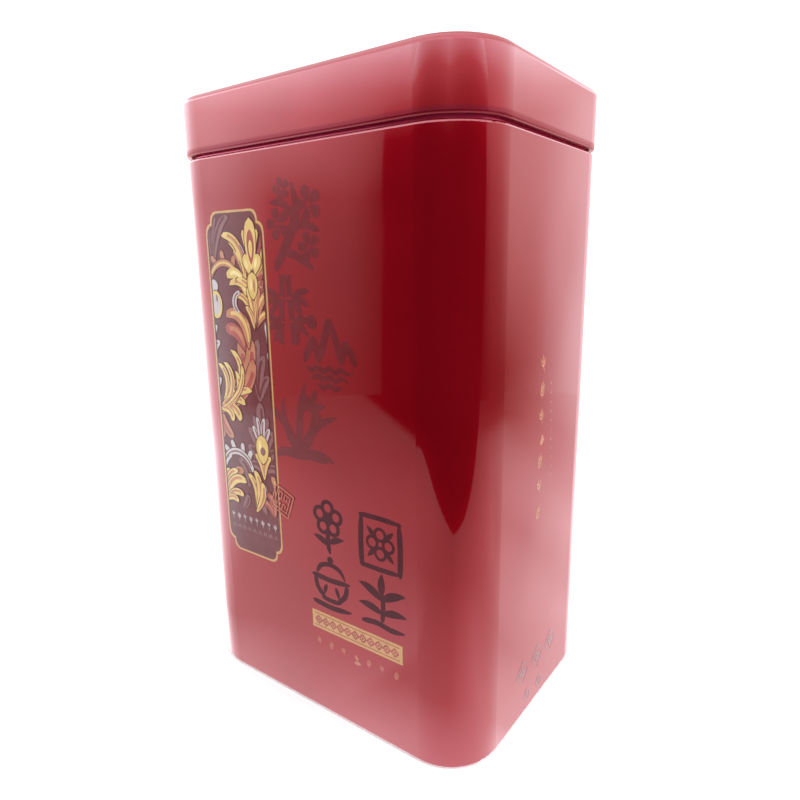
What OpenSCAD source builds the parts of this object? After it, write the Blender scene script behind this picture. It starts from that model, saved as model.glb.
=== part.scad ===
// Tea tin: a rectangular tinplate caddy with rounded corners, a slip-over lid and a plug lid inside.
// Frame: +Z up, origin at the bottom centre, front face towards -Y, side seam in the middle of the back.
// Every pressed part is sheet of one gauge. Its cross-section is drawn once, from straight strips and
// round bends, and around() carries it round the rounded rectangle.

/* [Body] */
// Width across the front face
body_w = 105.5; // [90:0.5:130]
// Depth from front to back
body_d = 80.5; // [66:0.5:100]
// Height of the closed tin
total_h = 180; // [140:1:220]
// Outside radius of the four upright corners
corner_r = 15.5; // [12:0.5:22]
// Gauge of the tinplate
sheet_t = 0.25; // [0.22:0.01:0.28]
// Radius of the bend between the wall and the foot rim
foot_bend_r = 1; // [0.9:0.05:1.2]
// Radius of the bend at the body's shoulder
shoulder_r = 0.8; // [0.4:0.05:0.9]

/* [Base] */
// Width of the seamed rim that the tin stands on
foot_w = 3.2; // [2.8:0.1:4]
// Height of the recessed base panel
base_lift = 3.4; // [3:0.1:5]

/* [Lid] */
// Height of the lid's skirt
lid_h = 16; // [15:0.1:24]
// How far the lid stands out past the body on each side
lid_overhang = 0.4; // [0.35:0.05:0.9]
// Radius of the lid's top edge
lid_edge_r = 1.8; // [1.2:0.1:3]
// Radius of the curl along the skirt's lower edge
lid_curl_r = 0.8; // [0.7:0.05:0.85]
// How far that curl stands proud of the skirt
lid_bead = 0; // [0:0.02:0.2]
// Gap between the curl and the body's shoulder
lid_gap = 0.7; // [0.3:0.05:1]
// Border between the lid's edge and its sunk panel
lid_border = 6; // [4:0.5:10]
// Depth of the sunk panel
lid_panel_drop = 0.8; // [0.5:0.1:1.2]

/* [Neck] */
// How far the neck is set in from the body's outside
neck_inset = 1.45; // [1.4:0.05:1.6]
// Height of the neck above the shoulder
neck_h = 10.6; // [9:0.1:11.5]
// Length of the collar inside the body
collar_h = 12.5; // [8:0.5:20]
// Radius of the curl along the neck's rim
neck_curl_r = 0.6; // [0.5:0.05:0.7]

/* [Plug lid] */
// Depth of the plug below the neck's rim
plug_h = 7; // [5:0.5:7.5]
// Sliding clearance between the plug and the neck
plug_clearance = 0.2; // [0.15:0.05:0.3]
// Height of the raised panel in the plug's floor
plug_panel_rise = 0.6; // [0.4:0.1:0.8]
// Radius of the knob's head
knob_r = 8; // [6:0.5:10]
// Height of the knob
knob_h = 8.5; // [7:0.5:9]

/* [Seams] */
// Width of the folded side seam
seam_w = 6; // [5:0.5:8]
// Space between the folded layers of a seam
seam_gap = 0.04; // [0.03:0.01:0.05]

/* [Hidden] */
$fn = 64;

pitch = sheet_t + seam_gap;                       // from one layer of a seam to the next
fold_r = sheet_t + pitch/2 + seam_gap/2;          // outside of a sheet folded back over one layer
seat_gap = 0.05;                                  // between nested parts that touch in the real tin
shoulder_z = total_h - lid_h - lid_gap;
lid_r = corner_r + lid_overhang;
neck_x = corner_r - neck_inset;                   // the neck's outside, measured as corner_r is
rim_z = shoulder_z + neck_h;
shelf_z = shoulder_z - sheet_t - seat_gap;        // top of the collar's shelf, under the shoulder
plug_z = rim_z - plug_h;                          // underside of the plug's floor
plug_x = neck_x - 2*neck_curl_r - plug_clearance; // the plug wall's outside
plug_panel_z = plug_z + plug_panel_rise;
rivet_r = 1.5;
rivet_clearance = 0.05;
rivet_grip = 4.8;                                 // length of the rivet inside the knob
red = [0.62, 0.05, 0.08];
tin = [0.78, 0.78, 0.80];
alloy = [0.85, 0.85, 0.86];

// Carries a cross-section round a rounded rectangle. In the cross-section, x is the distance from the
// corner's axis and y is the height, and a corner of radius r has its outside at x = r.
module around(w, d, r) {
    for (k = [0:3]) {
        along = k % 2 == 0 ? d : w;
        across = k % 2 == 0 ? w : d;
        rotate(90*k) translate([across/2 - r, along/2 - r, 0]) {
            rotate_extrude(angle = 90) children();
            rotate([90, 0, 0]) linear_extrude(along - 2*r) children();
        }
    }
}

// The path of the body's wall, which every pressed part follows
module around_body() {
    around(body_w, body_d, corner_r) children();
}

// Fills what around() leaves open in the middle of a panel whose underside is at z
module panel_middle(z) {
    translate([corner_r - body_w/2, corner_r - body_d/2, z])
        cube([body_w - 2*corner_r, body_d - 2*corner_r, sheet_t]);
}

// A straight run of sheet in a cross-section
module strip(from, to) {
    polygon([from, [to[0], from[1]], to, [from[0], to[1]]]);
}

// Sheet bent to an outer radius r about a point, from one angle round to another
module bend(at, r, from, to) {
    steps = ceil((to - from)/45);
    translate(at) intersection() {
        difference() {
            circle(r);
            circle(r - sheet_t);
        }
        polygon([
            [0, 0],
            for (i = [0:steps]) let (a = from + (to - from)*i/steps) 2*r*[cos(a), sin(a)]
        ]);
    }
}

// A panel with its underside at z, from x_out in to the corner's axis, which steps up by rise, or down
// if rise is negative, at x. The step is two bends that meet where the sheet stands upright.
module stepped_panel(x_out, x, z, rise) {
    step_r = (abs(rise) + sheet_t)/2;
    strip([x_out, z], [x, z + sheet_t]);
    translate([x, z + sheet_t/2]) mirror([0, rise > 0 ? 1 : 0]) {
        bend([0, sheet_t/2 - step_r], step_r, 90, 180);
        bend([-abs(rise), sheet_t/2 - step_r], step_r, 270, 360);
    }
    strip([x - abs(rise), z + rise], [0, z + rise + sheet_t]);
}

// The body's wall: a hook under the base, the upright wall and the rounded shoulder
module wall_section() {
    hook_x = corner_r - foot_w + fold_r;
    bend([hook_x, fold_r], fold_r, 90, 270);
    strip([hook_x, 2*pitch], [corner_r - foot_bend_r, 2*pitch + sheet_t]);
    strip([hook_x, 0], [corner_r - foot_bend_r, sheet_t]);
    bend([corner_r - foot_bend_r, foot_bend_r], foot_bend_r, 270, 360);
    strip([corner_r - sheet_t, foot_bend_r], [corner_r, shoulder_z - shoulder_r]);
    bend([corner_r - shoulder_r, shoulder_z - shoulder_r], shoulder_r, 0, 90);
    strip([corner_r - shoulder_r, shoulder_z - sheet_t], [neck_x + seat_gap, shoulder_z]);
}

// Plan of the lock seam, with the outside of the wall at y = 0 and the inside towards -y. The sheet
// from the right makes layers 1 and 3, and the one from the left steps in to make layers 4 and 2.
module lock_seam_plan() {
    half = seam_w/2;
    run_in = 1;
    function outer(layer) = -(layer - 1)*pitch;
    function inner(layer) = outer(layer) - sheet_t;
    strip([half + run_in, outer(1)], [-half, inner(1)]);
    strip([-half, outer(1)], [sheet_t - half, inner(3)]);
    strip([-half, outer(3)], [half - 3*pitch, inner(3)]);
    strip([-half - run_in, outer(1)], [-half - seam_gap, inner(1)]);
    strip([-half - pitch, outer(1)], [-half - seam_gap, inner(4)]);
    strip([-half - pitch, outer(4)], [half - pitch, inner(4)]);
    strip([half - pitch, inner(4)], [half - pitch - sheet_t, outer(2)]);
    strip([half - pitch, outer(2)], [2*pitch - half, inner(2)]);
}

// The wall is one blank, joined to itself by the lock seam down the middle of the back
module body_wall() {
    seam_z0 = 2*foot_bend_r;
    seam_z1 = shoulder_z - 2*shoulder_r;
    color(red) {
        difference() {
            around_body() wall_section();
            translate([-seam_w/2 - 0.5, body_d/2 - 1, seam_z0])
                cube([seam_w + 1, 2, seam_z1 - seam_z0]);
        }
        translate([0, body_d/2, seam_z0]) linear_extrude(seam_z1 - seam_z0) lock_seam_plan();
    }
}

// The base's edge is folded over the wall's hook, so that the two hold each other
module base_section() {
    flange_z = 3*pitch;
    hook_x = corner_r - foot_bend_r;
    wall_x = corner_r - foot_w;
    turn_r = 0.6;
    strip([corner_r - foot_w + fold_r, pitch], [hook_x, pitch + sheet_t]);
    bend([hook_x, pitch + fold_r], fold_r, -90, 90);
    strip([hook_x, flange_z], [wall_x + turn_r, flange_z + sheet_t]);
    bend([wall_x + turn_r, flange_z + turn_r], turn_r, 180, 270);
    strip([wall_x, flange_z + turn_r], [wall_x + sheet_t, base_lift + sheet_t - turn_r]);
    bend([wall_x + sheet_t - turn_r, base_lift + sheet_t - turn_r], turn_r, 0, 90);
    stepped_panel(wall_x + sheet_t - turn_r, 7, base_lift, -0.5);
}

module base_pan() {
    color(tin) {
        around_body() base_section();
        panel_middle(base_lift - 0.5);
    }
}

module neck_section() {
    skirt_x = corner_r - sheet_t - seat_gap;
    curl_z = rim_z - neck_curl_r;
    strip([skirt_x, shelf_z - collar_h], [skirt_x - sheet_t, shelf_z - shoulder_r]);
    bend([skirt_x - shoulder_r + sheet_t, shelf_z - shoulder_r + sheet_t], shoulder_r - sheet_t, 0, 90);
    strip([skirt_x, shelf_z - shoulder_r], [skirt_x - sheet_t, shelf_z - shoulder_r + sheet_t]);
    strip([skirt_x - shoulder_r + sheet_t, shelf_z], [neck_x - sheet_t, shelf_z - sheet_t]);
    strip([neck_x - sheet_t, shelf_z - sheet_t], [neck_x, curl_z]);
    bend([neck_x - neck_curl_r, curl_z], neck_curl_r, 0, 270);
}

// The collar is notched where its skirt passes the body's side seam
module neck_collar() {
    notch_w = seam_w + 3;
    color(tin) difference() {
        around_body() neck_section();
        translate([-notch_w/2, body_d/2 - 2, shelf_z - collar_h - 1])
            cube([notch_w, 3, collar_h - shoulder_r]);
    }
}

module lid_section() {
    curl_z = shoulder_z + lid_gap + lid_curl_r;
    edge_z = total_h - lid_edge_r;
    bead_turn = acos(1 - lid_bead/lid_curl_r);
    bend([lid_r + lid_bead - lid_curl_r, curl_z], lid_curl_r, 90, 360 + bead_turn);
    strip([lid_r - sheet_t, curl_z + (lid_curl_r - sheet_t)*sin(bead_turn)], [lid_r, edge_z]);
    bend([lid_r - lid_edge_r, edge_z], lid_edge_r, 0, 90);
    stepped_panel(lid_r - lid_edge_r, lid_r - lid_border, total_h - sheet_t, -lid_panel_drop);
}

module lid_shell() {
    color(red) {
        around_body() lid_section();
        panel_middle(total_h - sheet_t - lid_panel_drop);
    }
}

// The plug's rim lies over the neck's curl, and its wall goes down inside the neck
module plug_section() {
    rim_r = neck_curl_r + plug_clearance + sheet_t;
    rim_at = [neck_x - neck_curl_r, rim_z + seat_gap + sheet_t - rim_r];
    floor_r = 1.25;
    bend(rim_at, rim_r, 60, 180);
    strip([plug_x, rim_at[1]], [plug_x - sheet_t, plug_z + floor_r]);
    bend([plug_x - floor_r, plug_z + floor_r], floor_r, 270, 360);
    stepped_panel(plug_x - floor_r, 9, plug_z, plug_panel_rise);
}

module plug_lid() {
    color(tin) difference() {
        union() {
            around_body() plug_section();
            panel_middle(plug_panel_z);
        }
        translate([0, 0, plug_z]) cylinder(h = 3, r = rivet_r + rivet_clearance);
    }
}

// A turned button: a foot, a waist and a domed head, bored from below for the rivet
module plug_knob() {
    base_r = 0.75*knob_r;
    waist_r = 0.45*knob_r;
    head_z = 0.55*knob_h;
    edge_h = 0.12*knob_h;
    dome_h = knob_h - head_z - edge_h;
    dome_r = (knob_r*knob_r + dome_h*dome_h)/(2*dome_h);
    chamfer = 0.6;
    color(alloy) translate([0, 0, plug_panel_z + sheet_t + 0.02]) difference() {
        union() {
            rotate_extrude() polygon([
                [0, 0], [base_r, 0], [base_r, chamfer], [waist_r, 2.2], [waist_r, head_z - 1.4],
                [knob_r - chamfer, head_z], [knob_r, head_z + chamfer], [knob_r, head_z + edge_h],
                [0, head_z + edge_h]
            ]);
            translate([0, 0, head_z + edge_h]) intersection() {
                translate([0, 0, dome_h - dome_r]) sphere(dome_r);
                cylinder(h = dome_h + 1, r = knob_r);
            }
        }
        translate([0, 0, -1]) cylinder(h = rivet_grip + 1.4, r = rivet_r + rivet_clearance);
    }
}

module knob_rivet() {
    head_h = 0.8;
    head_r = 2.2*rivet_r;
    color(alloy) translate([0, 0, plug_panel_z - 0.02]) {
        translate([0, 0, -head_h]) cylinder(h = head_h, r = head_r);
        cylinder(h = sheet_t + rivet_grip, r = rivet_r);
    }
}

body_wall();
base_pan();
neck_collar();
lid_shell();
plug_lid();
plug_knob();
knob_rivet();
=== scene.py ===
"""The looks of the tea tin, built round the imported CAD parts. Lengths are in metres.

The body is printed and varnished tinplate. Its printing is made of very thin closed slabs of ink.
On a face of the tin a place is (s, v): s runs to the right from the middle of that face, and v is
the height, both in millimetres.
"""
import math

import bpy
from mathutils import Matrix, Vector


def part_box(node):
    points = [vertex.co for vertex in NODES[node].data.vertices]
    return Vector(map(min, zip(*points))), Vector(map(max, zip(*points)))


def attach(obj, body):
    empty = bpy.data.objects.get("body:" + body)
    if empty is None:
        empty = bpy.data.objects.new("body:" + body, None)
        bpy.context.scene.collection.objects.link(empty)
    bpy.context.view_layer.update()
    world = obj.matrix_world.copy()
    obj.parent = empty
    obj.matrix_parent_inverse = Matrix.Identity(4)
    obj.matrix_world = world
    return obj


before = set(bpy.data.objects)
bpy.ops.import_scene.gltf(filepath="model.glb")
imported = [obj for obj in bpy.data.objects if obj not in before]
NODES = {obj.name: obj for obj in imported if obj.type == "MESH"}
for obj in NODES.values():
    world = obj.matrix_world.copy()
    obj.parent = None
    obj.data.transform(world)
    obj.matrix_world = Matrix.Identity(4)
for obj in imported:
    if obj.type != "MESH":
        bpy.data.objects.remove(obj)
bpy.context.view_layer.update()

MM = 0.001

# ------------ sizes, as in the CAD source
WALL_LOW, WALL_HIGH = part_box("body_wall")
LID_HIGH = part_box("lid_shell")[1]
WIDTH = round((WALL_HIGH.x - WALL_LOW.x) / MM, 3)
DEPTH = round((WALL_HIGH.y - WALL_LOW.y) / MM, 3)
SHOULDER_Z = 163.3
CORNER_R = 15.5
LID_EDGE_Z = 164.0
LID_CURL_R = 0.8
LID_CORNER_R = CORNER_R + 0.4
SHEET = 0.25
NECK_INSET = 1.45


# ------------ camera
def make_camera():
    """The photographed view: from the right of the front, a little above the middle of the tin."""
    data = bpy.data.cameras.new("camera")
    data.sensor_width = 36.0
    data.lens = 27.86
    data.clip_start = 0.01
    camera = bpy.data.objects.new("camera", data)
    bpy.context.scene.collection.objects.link(camera)
    place = (0.11936, -0.15788, 0.13432)
    yaw, pitch, roll = 0.635, -0.2244, -0.0140
    turn = Matrix.Rotation(yaw, 4, "Z") @ Matrix.Rotation(math.pi / 2 + pitch, 4, "X")
    camera.matrix_world = Matrix.Translation(place) @ turn @ Matrix.Rotation(roll, 4, "Z")
    bpy.context.scene.camera = camera


# ------------ sums made of shader nodes
def put(node, name, value):
    """Gives an input of a node a plain value, a field or another node's output."""
    entry = node.inputs[name]
    if isinstance(value, Field):
        value = value.socket
    if isinstance(value, bpy.types.NodeSocket):
        node.id_data.links.new(value, entry)
    else:
        entry.default_value = value


class Field:
    """A number that varies over a surface. Adding, multiplying and so on make Math nodes."""

    def __init__(self, tree, socket):
        self.tree = tree
        self.socket = socket

    def math(self, operation, *others):
        node = self.tree.nodes.new("ShaderNodeMath")
        node.operation = operation
        for i, value in enumerate((self, *others)):
            put(node, i, value)
        return Field(self.tree, node.outputs[0])

    def __add__(self, other):
        return self.math("ADD", other)

    def __sub__(self, other):
        return self.math("SUBTRACT", other)

    def __mul__(self, other):
        return self.math("MULTIPLY", other)

    def __truediv__(self, other):
        return self.math("DIVIDE", other)

    def size(self):
        return self.math("ABSOLUTE")

    def low(self, other):
        return self.math("MINIMUM", other)

    def high(self, other):
        return self.math("MAXIMUM", other)

    def over(self, other):
        return self.math("GREATER_THAN", other)

    def length(self, other):
        return (self * self + other * other).math("SQRT")

    def span(self, start, end, low=0.0, high=1.0, smooth=True):
        """Goes from low to high as this goes from start to end, and stays there outside."""
        node = self.tree.nodes.new("ShaderNodeMapRange")
        node.interpolation_type = "SMOOTHSTEP" if smooth else "LINEAR"
        names = ("Value", "From Min", "From Max", "To Min", "To Max")
        for name, value in zip(names, (self, start, end, low, high)):
            put(node, name, value)
        return Field(self.tree, node.outputs["Result"])

    def profile(self, stops, top):
        """Reads a curve through (place, value) stops. Values run from 0 to top."""
        first, last = stops[0][0], stops[-1][0]
        node = self.tree.nodes.new("ShaderNodeValToRGB")
        ramp = node.color_ramp
        while len(ramp.elements) < len(stops):
            ramp.elements.new(0.5)
        for element, (place, value) in zip(ramp.elements, stops):
            element.position = (place - first) / (last - first)
            element.color = (value / top, value / top, value / top, 1)
        put(node, 0, (self - first) / (last - first))
        return Field(self.tree, node.outputs[0]) * top


def blend(share, low, high):
    """From low to high as share goes from 0 to 1."""
    return (high - low) * share + low


def split_up(tree, kind):
    """x, y and z of a kind of texture coordinate, in the tin's own frame."""
    coordinates = tree.nodes.new("ShaderNodeTexCoord")
    split = tree.nodes.new("ShaderNodeSeparateXYZ")
    put(split, 0, coordinates.outputs[kind])
    return [Field(tree, output) for output in split.outputs]


def place_mm(tree):
    """x, y and z of the surface in millimetres."""
    return [part * 1000.0 for part in split_up(tree, "Object")]


def noise(tree, per_mm, detail=2.0, stretch=(1.0, 1.0, 1.0)):
    """Smooth noise from 0 to 1, with so many features to a millimetre."""
    coordinates = tree.nodes.new("ShaderNodeTexCoord")
    scale = tree.nodes.new("ShaderNodeMapping")
    put(scale, "Scale", stretch)
    put(scale, 0, coordinates.outputs["Object"])
    texture = tree.nodes.new("ShaderNodeTexNoise")
    put(texture, "Scale", per_mm * 1000.0)
    put(texture, "Detail", detail)
    put(texture, "Vector", scale.outputs[0])
    return Field(tree, texture.outputs["Fac"])


def mix_colour(tree, share, first, second):
    """A colour between two, which are sockets or plain (r, g, b)."""
    node = tree.nodes.new("ShaderNodeMix")
    node.data_type = "RGBA"
    put(node, "Factor", share)
    for i, value in ((6, first), (7, second)):
        put(node, i, (*value, 1) if isinstance(value, tuple) else value)
    return node.outputs[2]


def bump(tree, height, distance, over=None):
    """A bumped normal. The height field is in shares of the distance, which is in millimetres."""
    node = tree.nodes.new("ShaderNodeBump")
    put(node, "Strength", 1.0)
    put(node, "Distance", distance * MM)
    put(node, "Height", height)
    if over is not None:
        put(node, "Normal", over)
    return node.outputs[0]


# ------------ materials
LACQUER = (0.212, 0.0026, 0.0076)
LACQUER_DEEP = (0.192, 0.0019, 0.0062)
# The darker red painted on the lid's curl as shade over the seam.
LACQUER_PAINTED_SHADE = (0.155, 0.0070, 0.0150)
# Red painted on the neck's foot as the maroon of the shaded gap under the lid, lighter than the body's
# red.
NECK_PAINTED_GAP_RED = (0.46, 0.022, 0.075)
NECK_PAINTED_GAP_DEEP = (0.40, 0.018, 0.062)
EDGE_TINT = (1.0, 0.05, 0.06)
TINPLATE = (0.70, 0.69, 0.66)
TINPLATE_DULL = (0.55, 0.54, 0.52)
ALLOY = (0.76, 0.76, 0.77)
ALLOY_DULL = (0.62, 0.62, 0.63)
COAT_ROUGHNESS = 0.035
COAT_IOR = 1.5


def new_material(name):
    """A new material, its node tree and its one Principled shader."""
    material = bpy.data.materials.new(name)
    material.use_nodes = True
    tree = material.node_tree
    return material, tree, tree.nodes["Principled BSDF"]


def put_varnish(tree, shader, weight):
    """Clear varnish over slightly uneven sheet. It has all the gloss, and the colour has none."""
    put(shader, "Coat Roughness", COAT_ROUGHNESS)
    put(shader, "Coat IOR", COAT_IOR)
    put(shader, "Coat Weight", weight)
    put(shader, "Specular IOR Level", 0.0)
    waves = sheet_waves(tree)
    put(shader, "Coat Normal", waves)
    put(shader, "Normal", waves)


def sheet_waves(tree):
    """The slow unevenness of hand-flat sheet and the fine orange peel of stoved varnish."""
    slow = bump(tree, noise(tree, 0.022, 1.0), 0.35)
    return bump(tree, noise(tree, 0.45, 1.0), 0.0015, slow)


def beyond_plan(tree, half_x, half_y, radius):
    """How far outside a rounded rectangle a place is, looking straight down, in millimetres."""
    x, y = place_mm(tree)[:2]
    across = x.size() - (half_x - radius)
    along = y.size() - (half_y - radius)
    return across.high(0.0).length(along.high(0.0)) + across.high(along).low(0.0) - radius


def outside_of(tree, half_x, half_y, radius, low_z, high_z, bend, depth):
    """1 on the outer skin of a rounded box and 0 deeper inside than depth, in millimetres."""
    z = place_mm(tree)[2]
    plan = beyond_plan(tree, half_x, half_y, radius)
    height = (z - (low_z + high_z) / 2).size() - (high_z - low_z) / 2
    side, end = plan + bend, height + bend
    distance = side.high(0.0).length(end.high(0.0)) + side.high(end).low(0.0) - bend
    return distance.over(-depth)


def lacquered(name, mask_of, painted_shade_of=None, deep=LACQUER_DEEP, light=LACQUER):
    """Red lacquer over tinplate where the mask is 1, and bare tinplate inside. Where the shade field is
    1, painted shade darkens the red and thins the varnish.
    """
    material, tree, shader = new_material(name)
    outside = mask_of(tree)
    mottle = noise(tree, 0.03, 3.0)
    red = mix_colour(tree, mottle.span(0.3, 0.7), deep, light)
    varnish = outside
    if painted_shade_of is not None:
        # Painted shade: a darker red and less varnish where this field is 1.
        painted_shade = painted_shade_of(tree)
        red = mix_colour(tree, painted_shade, red, LACQUER_PAINTED_SHADE)
        varnish = outside * (painted_shade * -0.45 + 1.0)
    grain = noise(tree, 3.0, 2.0, (0.15, 0.15, 1.0))
    bare = mix_colour(tree, grain, TINPLATE_DULL, TINPLATE)
    put(shader, "Base Color", mix_colour(tree, outside, bare, red))
    rough = blend(outside, grain.span(0.2, 0.8, 0.20, 0.34), mottle.span(0.2, 0.8, 0.20, 0.26))
    put(shader, "Roughness", rough)
    put(shader, "Metallic", outside * 0.12 + 0.5)
    put(shader, "Specular Tint", (*EDGE_TINT, 1))
    put_varnish(tree, shader, varnish)
    return material


def body_mask(tree):
    """The body's outer skin."""
    return outside_of(tree, WIDTH / 2, DEPTH / 2, CORNER_R, 0.0, SHOULDER_Z, 0.9, SHEET / 2)


def lid_mask(tree):
    """The lid's outer skin: the skirt and its curl, and the top where it faces up."""
    high = LID_HIGH / MM
    skirt = outside_of(tree, high.x, high.y, LID_CORNER_R, LID_EDGE_Z, high.z, 0.8, 0.15)
    x, y, z = place_mm(tree)
    nx, ny, nz = split_up(tree, "Normal")
    outward = (nx * x + ny * y) / x.length(y)
    top = z.over(high.z - 1.25) * (nz - outward * 0.1).over(-0.05)
    plan = beyond_plan(tree, high.x, high.y, LID_CORNER_R)
    from_roll = (plan + LID_CURL_R).length(z - (LID_EDGE_Z + LID_CURL_R))
    roll = from_roll.over(LID_CURL_R - 0.12) * (z * -1.0).over(-(LID_EDGE_Z + 1.62))
    return skirt.high(top).high(roll)


def lid_curl_painted_shade(tree):
    """1 on the curl at the foot of the skirt, where painted shade darkens the red and thins the varnish,
    so that the seam under the lid looks dark.
    """
    z = place_mm(tree)[2]
    return z.span(LID_EDGE_Z + 1.2, LID_EDGE_Z + 2.1, 1.0, 0.0)


def bright_tinplate(name):
    """Bare tinplate as it leaves the press: bright, with the fine grain of the rolled sheet."""
    material, tree, shader = new_material(name)
    grain = noise(tree, 2.5, 3.0, (0.08, 1.0, 1.0))
    spangle = noise(tree, 0.12, 2.0)
    colour = mix_colour(tree, spangle.span(0.35, 0.65), TINPLATE_DULL, TINPLATE)
    put(shader, "Base Color", colour)
    put(shader, "Metallic", 1.0)
    put(shader, "Roughness", grain.span(0.25, 0.75, 0.20, 0.33) + spangle * 0.05)
    put(shader, "Normal", bump(tree, grain, 0.004))
    return material


def collar_painted_gap_mask(tree):
    """The lowest part of the neck's outside, seen in the gap under the lid. It is painted red, lighter
    than the body's red, to stand in for the maroon of the shaded gap. The rest is bare.
    """
    plan = beyond_plan(tree, WIDTH / 2 - NECK_INSET, DEPTH / 2 - NECK_INSET, CORNER_R - NECK_INSET)
    x, y, z = place_mm(tree)
    nx, ny = split_up(tree, "Normal")[:2]
    outward = (nx * x + ny * y).over(0.0)
    return plan.over(-SHEET / 2) * outward * (z * -1.0).over(-(SHOULDER_Z + 2.6))


def turned_alloy(name):
    """Turned aluminium: fine rings round the upright axis."""
    material, tree, shader = new_material(name)
    x, y, z = place_mm(tree)
    rings = ((x.length(y) + z * 0.3) * 18.0).math("SINE") * 0.5 + 0.5
    patches = noise(tree, 0.4, 2.0)
    put(shader, "Base Color", mix_colour(tree, patches, ALLOY_DULL, ALLOY))
    put(shader, "Metallic", 1.0)
    put(shader, "Roughness", rings * 0.08 + patches * 0.08 + 0.22)
    put(shader, "Normal", bump(tree, rings, 0.006))
    return material


def finish_cad_parts():
    """Gives each CAD part its material. The names are the CAD model's own."""
    tin = bright_tinplate("bright_tinplate")
    alloy = turned_alloy("turned_alloy")
    looks = {
        "body_wall": lacquered("body_lacquer", body_mask),
        # The lid's curl gets painted shade over the seam.
        "lid_shell": lacquered("lid_lacquer", lid_mask, lid_curl_painted_shade),
        "base_pan": tin,
        # The neck's foot gets the painted red of the shaded gap.
        "neck_collar": lacquered("neck_painted_gap_red", collar_painted_gap_mask, None, NECK_PAINTED_GAP_DEEP, NECK_PAINTED_GAP_RED),
        "plug_lid": tin,
        "plug_knob": alloy,
        "knob_rivet": alloy,
    }
    for name, material in looks.items():
        for entry in NODES[name].material_slots:
            entry.material = material


def link(name, mesh):
    """A new object in the scene with this mesh."""
    made = bpy.data.objects.new(name, mesh)
    bpy.context.scene.collection.objects.link(made)
    return made


# ------------ printing
# How deep a slab goes into the tin, how high the first ink stands, and what each level adds to it.
SUNK = 0.06
FIRST_INK = 0.03
INK_STEP = 0.012
# Shapes are raised by a hair each, so that no two faces coincide, and start again after so many.
SHAPE_STEP = 0.0002
SHAPE_ROUND = 60
# Each ink's slot, its lighter and darker tone, how metallic it is and how much varnish it has.
INKS = {
    "frame_gold": ("gold_ink", (0.36, 0.200, 0.070), (0.33, 0.175, 0.060), 0.35, 0.9),
    "gold": ("gold_ink", (0.46, 0.315, 0.105), (0.42, 0.275, 0.085), 0.25, 0.8),
    "pale_gold": ("gold_ink", (0.55, 0.43, 0.20), (0.50, 0.38, 0.165), 0.20, 0.8),
    "terracotta": ("light_ink", (0.34, 0.135, 0.070), (0.28, 0.100, 0.052), 0.20, 0.8),
    "brick": ("light_ink", (0.26, 0.050, 0.042), (0.21, 0.036, 0.031), 0.25, 0.8),
    "silver": ("light_ink", (0.37, 0.31, 0.30), (0.31, 0.26, 0.25), 0.25, 0.8),
    "mauve": ("light_ink", (0.17, 0.070, 0.070), (0.14, 0.052, 0.054), 0.20, 0.8),
    "stamp": ("light_ink", (0.34, 0.105, 0.070), (0.30, 0.085, 0.056), 0.30, 0.9),
    "ground": ("dark_ink", (0.105, 0.018, 0.020), (0.088, 0.013, 0.015), 0.25, 0.75),
    "outline": ("dark_ink", (0.085, 0.013, 0.014), (0.070, 0.009, 0.010), 0.25, 0.8),
    "emblem": ("dark_ink", (0.046, 0.0055, 0.0095), (0.036, 0.0040, 0.0072), 0.15, 0.42),
    "wash": ("dark_ink", (0.112, 0.0052, 0.0084), (0.100, 0.0036, 0.0062), 0.55, 0.8),
    "faint": ("dark_ink", (0.170, 0.036, 0.040), (0.140, 0.026, 0.028), 0.40, 0.9),
}


def front(s, v, h):
    """The place on the front at (s, v), raised by h. The other three faces are alike."""
    return Vector((s, -(DEPTH / 2 + h), v)) * MM


def back(s, v, h):
    return Vector((-s, DEPTH / 2 + h, v)) * MM


def right(s, v, h):
    return Vector((WIDTH / 2 + h, s, v)) * MM


def left(s, v, h):
    return Vector((-(WIDTH / 2 + h), -s, v)) * MM


def ink(name, light, dark, metal, varnish):
    """Opaque printing ink under the same varnish as the red round it."""
    material, tree, shader = new_material(name + "_ink")
    mottle = noise(tree, 0.25, 3.0)
    put(shader, "Base Color", mix_colour(tree, mottle.span(0.3, 0.7), dark, light))
    put(shader, "Metallic", metal)
    put(shader, "Roughness", mottle.span(0.2, 0.8, 0.32, 0.42))
    put_varnish(tree, shader, varnish)
    return material


class Sheet:
    """Gathers thin slabs of ink, and makes one piece of all those of an ink on a face."""

    def __init__(self, face, prefix):
        self.face = face
        self.prefix = prefix
        self.strips = {}
        self.count = 0

    def lay(self, ink_name, level, strip, closed=False):
        """Keeps a strip, which is a list of (left, right) pairs of places on the face."""
        self.count += 1
        self.strips.setdefault(ink_name, []).append((strip, closed, level, self.count))

    def make(self, inks):
        """Makes a piece of each ink that was laid."""
        for ink_name, strips in self.strips.items():
            mesh = bpy.data.meshes.new(self.prefix + "." + ink_name)
            points, faces = [], []
            for strip, closed, level, count in strips:
                hair = count % SHAPE_ROUND * SHAPE_STEP
                raised = FIRST_INK + level * INK_STEP + hair
                sunk = -SUNK - hair
                start = len(points)
                for one, other in strip:
                    points += [self.face(*one, raised), self.face(*other, raised)]
                    points += [self.face(*other, sunk), self.face(*one, sunk)]
                last = len(strip) if closed else len(strip) - 1
                for i in range(last):
                    here = start + 4 * i
                    after = start + 4 * ((i + 1) % len(strip))
                    for a in range(4):
                        b = (a + 1) % 4
                        faces.append((here + b, after + b, after + a, here + a))
                if not closed:
                    end = start + 4 * last
                    faces.append((start + 3, start + 2, start + 1, start))
                    faces.append((end, end + 1, end + 2, end + 3))
            mesh.from_pydata(points, [], faces)
            mesh.materials.append(inks[ink_name])
            piece = link(self.prefix + "." + ink_name, mesh)
            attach(piece, "tin")


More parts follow.
